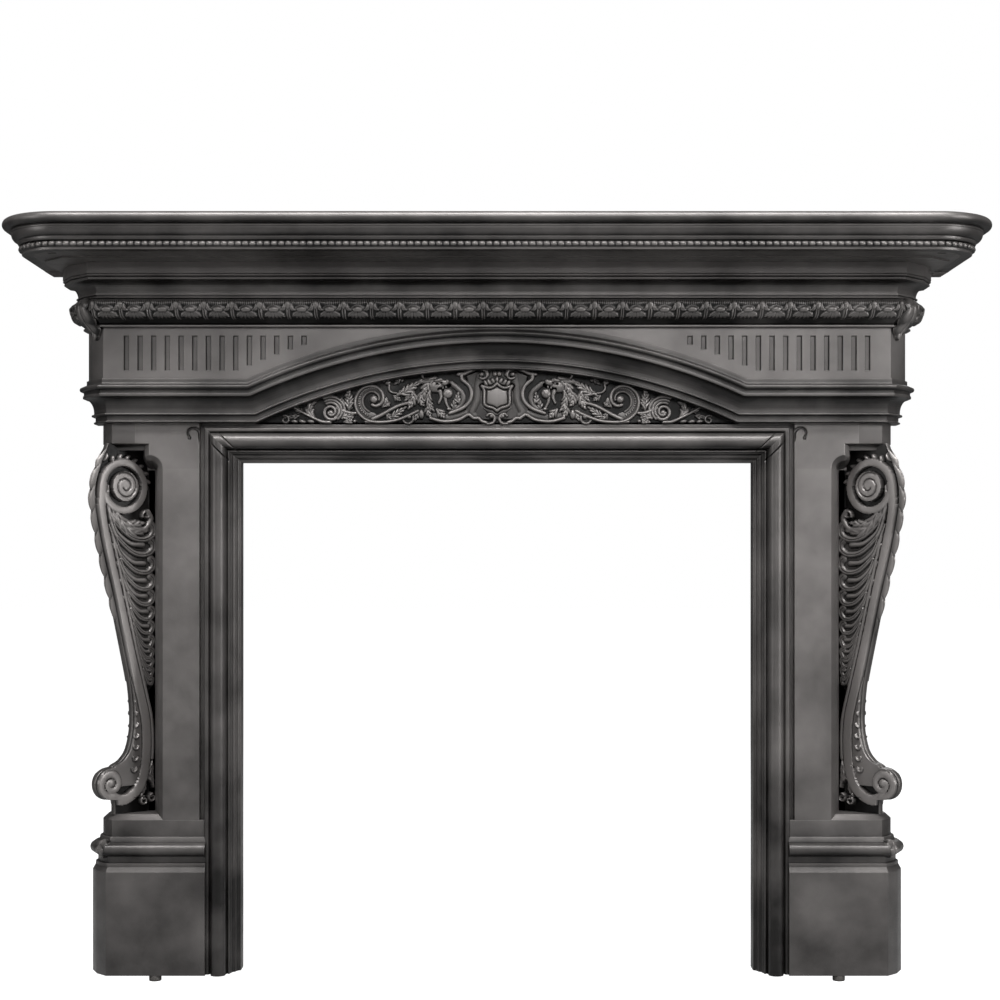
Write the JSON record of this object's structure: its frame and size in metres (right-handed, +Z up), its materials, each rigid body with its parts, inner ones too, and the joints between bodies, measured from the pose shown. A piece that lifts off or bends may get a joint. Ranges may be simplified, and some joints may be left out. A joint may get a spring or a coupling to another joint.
{
  "type": "fireplace surround",
  "caption": "Cast iron fireplace surround: moulded shelf, arched frieze with carved tympanum, and jambs with scrolled brackets on plinths.",
  "frame": {"origin": "midway between the two wall bolt holes behind the frieze, in the plane of the wall", "axes": "+X to the right of someone facing the fireplace, -Y out from the wall into the room, +Z up"},
  "size_m": [1.693, 0.267, 1.3203],
  "materials": {
    "shelf_iron": "black-leaded cast iron, burnished on the nosing",
    "frieze_iron": "black-leaded cast iron, rubbed bright on the raised mouldings",
    "jamb_iron": "black-leaded cast iron with a soft graphite sheen",
    "bracket_iron": "black-leaded cast iron, dark in the hollows of the carving",
    "lug_iron": "rough cast iron"
  },
  "bodies": {
    "root": {"shelf": "shelf_iron", "frieze": "frieze_iron", "jamb_left": "jamb_iron", "jamb_right": "jamb_iron", "bracket_left": "bracket_iron", "bracket_right": "bracket_iron", "foot_left": "lug_iron", "foot_right": "lug_iron"}
  },
  "joints": []
}
